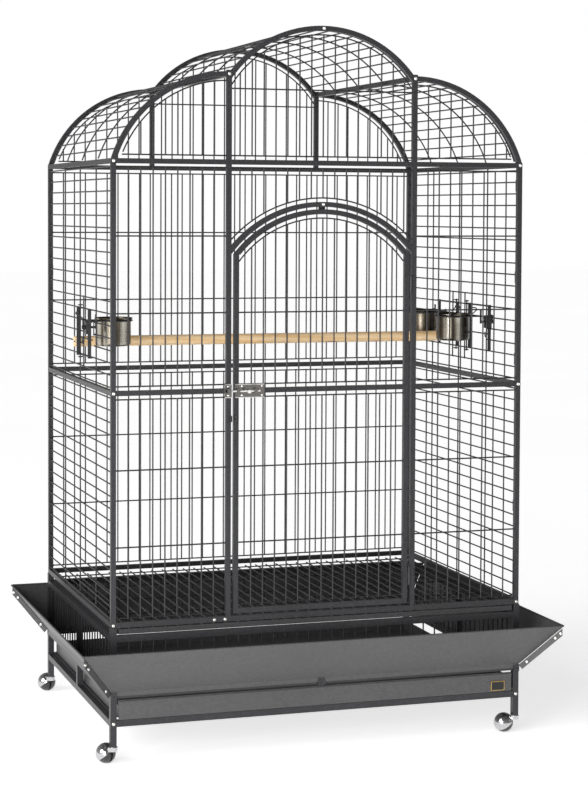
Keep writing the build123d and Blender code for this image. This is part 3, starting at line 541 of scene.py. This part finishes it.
def feeder_fittings(name, side, end):
    """A feeder's wire hooks, the beads at its ring's arms, and its lock's cover, wing and keeper."""
    axis_in, axis_out, lock_along, lock_z = 38.0, 6.25, 130.45, 1090.0
    rod = 1.6
    out = axis_out + 6.5  # the middle of the door's flat uprights
    hook_out = out + 8.0
    case_face = axis_out + layer + 12.0

    def at(along, out, z):
        return (side * (post_x + out), end * (axis_in + along), z)

    def in_plane(out):
        return lambda along, z: at(along, out, z)

    wires = Shape()
    hook = [at(109.0, out - 3.0, 1098.0), at(109.0, out + 5.0, 1097.0)]
    hook += [at(109.0, hook_out, 1094.0), at(109.0, hook_out, 1060.0)]
    hook += arc((103.0, 1052.0), 6.0, 0, -180, 8, in_plane(hook_out)) + [at(97.0, hook_out, 1060.0)]
    wires.swept(hook, rod)
    loop = [at(6.0, out, 1118.0)]
    loop += arc((12.0, 1118.0), 6.0, 180, 90, 4, in_plane(out + 6.5))
    loop += arc((34.0, 1118.0), 6.0, 90, 0, 4, in_plane(out + 6.5)) + [at(40.0, out - 5.0, 1108.0)]
    wires.swept(loop, rod)
    arm_bead = [(2.1, 3.0), (2.6, 2.4), (3.1, 1.4), (3.7, 0.4), (3.9, 0.0), (3.0, -0.2)]
    for along in (45.0, 105.0):
        wires.turned(at(along, axis_out - 1.9, 1104.0), (-side, 0, 0), arm_bead, 12)
    make(f"feeder_hooks_{name}", wires, "wire", f"feeder_{name}")

    cover = Shape()
    cover_levels = [(-0.4, 0.0), (0.5, 0.2), (1.0, 1.0), (1.0, 6.3), (0.6, 6.5)]
    cover.plate(at(lock_along, case_face, lock_z), (0, side, 0), (0, 0, 1), (13.0, 17.5), 2.0, cover_levels)
    make(f"feeder_lock_cover_{name}", cover, "black", f"feeder_{name}")

    wing = Shape()
    wing_boss = [(5.4, 0.55), (5.7, 1.2), (5.7, 4.0), (5.2, 5.0),
                 (4.0, 5.4), (3.8, 9.0), (3.2, 9.6), (1.0, 9.8)]
    wing.turned(at(lock_along, case_face, lock_z), (side, 0, 0), wing_boss)
    wing_levels = [(0.0, 0.6), (0.6, 0.0), (2.2, 0.0), (2.8, 0.6)]
    wing_foot = at(lock_along, case_face + 5.2, lock_z + 8.0)
    wing.plate(wing_foot, (0, side, 0), (0, 0, 1), (5.0, 12.0), 4.8, wing_levels)
    make(f"feeder_lock_wing_{name}", wing, "black", f"feeder_lock_{name}")

    keeper = Shape()
    staple = [at(179.0, 3.9, 1073.0), at(179.0, 8.0, 1073.0)]
    staple += arc((179.0, 1076.0), 3.0, -90, 0, 3, in_plane(9.5))
    staple += arc((179.0, 1105.0), 3.0, 0, 90, 3, in_plane(9.5))
    staple += [at(179.0, 8.0, 1108.0), at(179.0, 3.9, 1108.0)]
    keeper.swept(staple, rod)
    make(f"feeder_keeper_{name}", keeper, "wire", "cage")


# ---------------------------------------------------------------- casters and nameplate
bead_ring = [(5.9, 46.95), (8.6, 46.95), (9.3, 47.25), (9.3, 47.7), (8.6, 47.95), (5.9, 47.95)]
collar_ring = [(9.0, 45.4), (12.2, 44.6), (12.6, 45.2), (12.6, 46.0), (12.0, 46.6), (9.0, 46.7)]


def caster_rings(name, x, y):
    """The chrome bead round a caster's stem, and the collar on top of its hood, both solid discs."""
    ring, collar = Shape(), Shape()
    ring.turned((x, y, 0), (0, 0, 1), bead_ring, 32)
    make(f"caster_swivel_ring_{name}", ring, "chrome", "cage")
    collar.turned((x, y, 0), (0, 0, 1), collar_ring, 32)
    make(f"caster_collar_{name}", collar, "chrome", f"caster_{name}")


def tray_label():
    """A blank nameplate with a raised border at the right-hand end of the tray's front."""
    low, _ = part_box("tray")
    face = 1000 * low[1] + 0.02
    border, field = Shape(), Shape()
    border_levels = [(0.0, 0.0), (0.3, 0.0), (0.6, 0.35), (0.6, 1.4), (0.3, 1.7)]
    border.plate((label_x, face, label_z), (1, 0, 0), (0, 0, 1), (19.5, 12.5), 2.0, border_levels)
    field_levels = [(0.0, 0.0), (0.12, 0.1)]
    field.plate((label_x, face - 0.3, label_z), (1, 0, 0), (0, 0, 1), (17.9, 10.9), 0.9, field_levels)
    make("label_border", border, "gold", "tray")
    make("label_field", field, "black", "tray")


feeders = {"left_front": (-1, -1), "right_front": (1, -1), "right_back": (1, 1)}
casters = {"left_front": (-1, -1), "left_back": (-1, 1), "right_front": (1, -1), "right_back": (1, 1)}

bolt_heads()
latch_screws()
hinge_screws()
padlock_tab_screws()
weld_beads()
for feeder, (side, end) in feeders.items():
    spun_cup(feeder)
    feeder_fittings(feeder, side, end)
tray_label()
for caster, (side, end) in casters.items():
    caster_rings(caster, side * post_x, end * post_y)


# ---------------------------------------------------------------- floor, light and camera
def stage_floor():
    """A wide pale floor that glows a little, so that it fades into the background."""
    mesh = bpy.data.meshes.new("studio_floor")
    half = 40.0
    corners = [(-half, -half, 0), (half, -half, 0), (half, half, 0), (-half, half, 0)]
    mesh.from_pydata(corners, [], [(0, 1, 2, 3)])
    floor = bpy.data.objects.new("studio_floor", mesh)
    bpy.context.scene.collection.objects.link(floor)
    g = Graph("studio_floor_paint")
    cloud = g.noise(0.6, 3.0, 0.5)
    g.colour(g.ramp(cloud, ((0.35, (0.86, 0.86, 0.86)), (0.65, (0.90, 0.90, 0.90)))))
    g.roughness(g.spread(cloud, 0.85, 0.95))
    g.set(Emission_Color=(1.0, 1.0, 1.0, 1.0), Emission_Strength=0.66)
    mesh.materials.append(g.material)


def area_light(name, place, target, size, watts):
    data = bpy.data.lights.new(name, "AREA")
    data.shape = "RECTANGLE"
    data.size, data.size_y = size
    data.energy = watts
    lamp = bpy.data.objects.new(name, data)
    lamp.location = place
    lamp.rotation_euler = (Vector(target) - Vector(place)).to_track_quat("-Z", "Y").to_euler()
    bpy.context.scene.collection.objects.link(lamp)


def studio():
    """A pale room, darker towards the top and the right but plain white to the camera, and three lights."""
    world = bpy.data.worlds.new("studio")
    world.use_nodes = True
    tree = world.node_tree
    heading = tree.nodes.new("ShaderNodeSeparateXYZ")
    tree.links.new(tree.nodes.new("ShaderNodeTexCoord").outputs["Generated"], heading.inputs["Vector"])
    walls = tree.nodes.new("ShaderNodeMapRange")
    walls.inputs["To Min"].default_value, walls.inputs["To Max"].default_value = 0.36, 0.08
    tree.links.new(heading.outputs["Z"], walls.inputs["Value"])
    strength = tree.nodes.new("ShaderNodeMapRange")
    strength.inputs["To Max"].default_value = 1.0
    tree.links.new(tree.nodes.new("ShaderNodeLightPath").outputs["Is Camera Ray"], strength.inputs["Value"])
    leftward = tree.nodes.new("ShaderNodeMapRange")
    leftward.inputs["From Min"].default_value = -1.0
    leftward.inputs["To Min"].default_value, leftward.inputs["To Max"].default_value = 1.5, 0.5
    tree.links.new(heading.outputs["X"], leftward.inputs["Value"])
    product = tree.nodes.new("ShaderNodeMath")
    product.operation = "MULTIPLY"
    tree.links.new(walls.outputs["Result"], product.inputs[0])
    tree.links.new(leftward.outputs["Result"], product.inputs[1])
    tree.links.new(product.outputs["Value"], strength.inputs["To Min"])
    background = tree.nodes["Background"]
    background.inputs["Color"].default_value = (1.0, 1.0, 1.0, 1.0)
    tree.links.new(strength.outputs["Result"], background.inputs["Strength"])
    bpy.context.scene.world = world
    sun = bpy.data.lights.new("large_softbox", "SUN")
    sun.energy, sun.angle = 1.35, radians(35.0)
    lamp = bpy.data.objects.new("large_softbox", sun)
    lamp.rotation_euler = Vector((0.9, 0.35, -0.5)).to_track_quat("-Z", "Y").to_euler()
    bpy.context.scene.collection.objects.link(lamp)
    area_light("key", (-2.3, -3.2, 0.9), (-0.4, 0, 0.6), (1.2, 1.8), 88.0)
    area_light("fill", (4.2, -3.0, 1.6), (0, 0, 1.2), (1.6, 2.4), 3.0)


def camera():
    """Stands in front of the cage and to its left, 1.4 m up, turned to the right and tilted down a little."""
    data = bpy.data.cameras.new("camera")
    data.sensor_fit = "VERTICAL"
    data.sensor_height = 24.0
    data.lens = 60.39
    data.shift_y = -0.125
    data.clip_end = 200.0
    cam = bpy.data.objects.new("camera", data)
    yaw, tilt, roll = radians(18.01), radians(-2.52), radians(0.25)
    turn = Matrix.Rotation(-yaw, 3, "Z") @ Matrix.Rotation(radians(90) + tilt, 3, "X")
    cam.rotation_euler = (turn @ Matrix.Rotation(roll, 3, "Z")).to_euler()
    cam.location = (-1.669, -5.300, 1.393)
    bpy.context.scene.collection.objects.link(cam)
    bpy.context.scene.camera = cam


stage_floor()
studio()
camera()
bpy.context.scene.view_settings.view_transform = "Standard"
